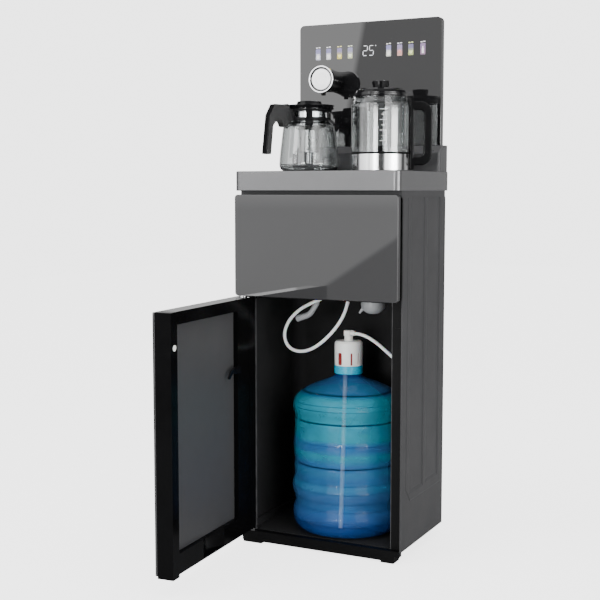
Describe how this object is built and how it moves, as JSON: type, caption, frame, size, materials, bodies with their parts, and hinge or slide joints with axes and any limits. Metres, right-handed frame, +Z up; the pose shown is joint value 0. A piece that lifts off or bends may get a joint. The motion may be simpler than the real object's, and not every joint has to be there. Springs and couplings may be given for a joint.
{
  "type": "tea bar water dispenser",
  "caption": "Tea bar water dispenser with its door open on a blue bottle, a tray with teapot and kettle, and an upright touch panel with spout.",
  "frame": {"origin": "centre of the footprint of the whole object with its door open as pictured, on the floor", "axes": "+Z up, -Y out of the cabinet's front, +X to the right seen from the front"},
  "size_m": [0.4144, 0.7094, 1.2613],
  "materials": {
    "side_grey": "satin charcoal grey paint on pressed sheet",
    "black_plastic": "fine satin black moulding",
    "gloss_black": "glossy black moulding",
    "liner_black": "semi-gloss black moulding",
    "rubber": "matt black",
    "back_sheet": "satin charcoal paint on sheet",
    "dark_glass": "polished tempered panel with a dark coating behind it",
    "deck_glass": "polished black tempered panel",
    "silver_trim": "satin silver grey metallic paint",
    "display": null,
    "chrome": "polished",
    "steel": "brushed",
    "hose_white": "semi-clear white hose",
    "white_plastic": "smooth white moulding",
    "grey_plastic": "smooth grey moulding",
    "grey_insert": "matt dark grey sheet",
    "cyan_plastic": "glossy cyan moulding",
    "blue_bottle": "translucent blue bottle",
    "clear_glass": "clear borosilicate"
  },
  "bodies": {
    "cabinet": {"back_panel": "back_sheet", "base_plinth": "black_plastic", "bottle": "blue_bottle", "bottle_cap": "white_plastic", "bottle_hose": "hose_white", "cap_ring": "cyan_plastic", "catch_plate": "black_plastic", "ceiling_fittings": "white_plastic", "compartment_ceiling": "liner_black", "compartment_liner": "liner_black", "console_cover": "silver_trim", "control_back_cover": "silver_trim", "control_glass": "dark_glass", "control_housing": "silver_trim", "cord_gland": "black_plastic", "dip_tube": "white_plastic", "display_board": "display", "drain_cup": "grey_plastic", "drain_spout": "grey_plastic", "feet": "rubber", "front_frame": "black_plastic", "front_glass_panel": "dark_glass", "front_panel_housing": "side_grey", "hose_elbow": "white_plastic", "hose_loop": "hose_white", "kettle_base": "black_plastic", "left_side_panel": "side_grey", "lower_hinge_bracket": "steel", "rear_drain_cap": "black_plastic", "right_side_panel": "side_grey", "screws": "steel", "spout_barrel": "gloss_black", "spout_disc": "silver_trim", "spout_nozzle": "black_plastic", "spout_ring": "chrome", "switch_housing": "black_plastic", "top_collar": "side_grey", "tray_deck": "deck_glass", "tray_frame": "silver_trim", "upper_hinge_bracket": "steel", "warming_plate": "deck_glass"},
    "door": {"door_glass": "dark_glass", "door_frame": "black_plastic", "door_inner_panel": "grey_insert", "door_edge_grip": "black_plastic", "door_magnet": "white_plastic", "door_hook": "black_plastic"},
    "teapot": {"teapot_glass": "clear_glass", "teapot_handle": "gloss_black", "teapot_infuser": "steel"},
    "teapot_cover": {"teapot_lid": "gloss_black"},
    "kettle": {"kettle_band": "steel", "kettle_glass": "clear_glass", "kettle_valve": "black_plastic", "kettle_handle": "gloss_black"},
    "kettle_cover": {"kettle_lid": "gloss_black", "kettle_knob": "gloss_black"},
    "rocker": {"power_rocker": "black_plastic"}
  },
  "joints": [
    {"name": "door_hinge", "type": "hinge", "parent": "cabinet", "child": "door", "pos_m": [-0.19076, 0.03906, 0.3], "axis": [0, 0, -1], "range_deg": [-86.8, 10]},
    {"name": "teapot_slide", "type": "slide", "parent": "cabinet", "child": "teapot", "axis": [0, -1, 0], "range_m": [0, 0.09]},
    {"name": "teapot_lid_lift", "type": "slide", "parent": "teapot", "child": "teapot_cover", "axis": [0, 0, 1], "range_m": [0, 0.022]},
    {"name": "kettle_lift", "type": "slide", "parent": "cabinet", "child": "kettle", "axis": [0, 0, 1], "range_m": [0, 0.2]},
    {"name": "kettle_lid_lift", "type": "slide", "parent": "kettle", "child": "kettle_cover", "axis": [0, 0, 1], "range_m": [0, 0.12]},
    {"name": "power_switch", "type": "hinge", "parent": "cabinet", "child": "rocker", "pos_m": [0.15074, 0.32656, 0.745], "axis": [1, 0, 0], "range_deg": [-24, 0]}
  ]
}
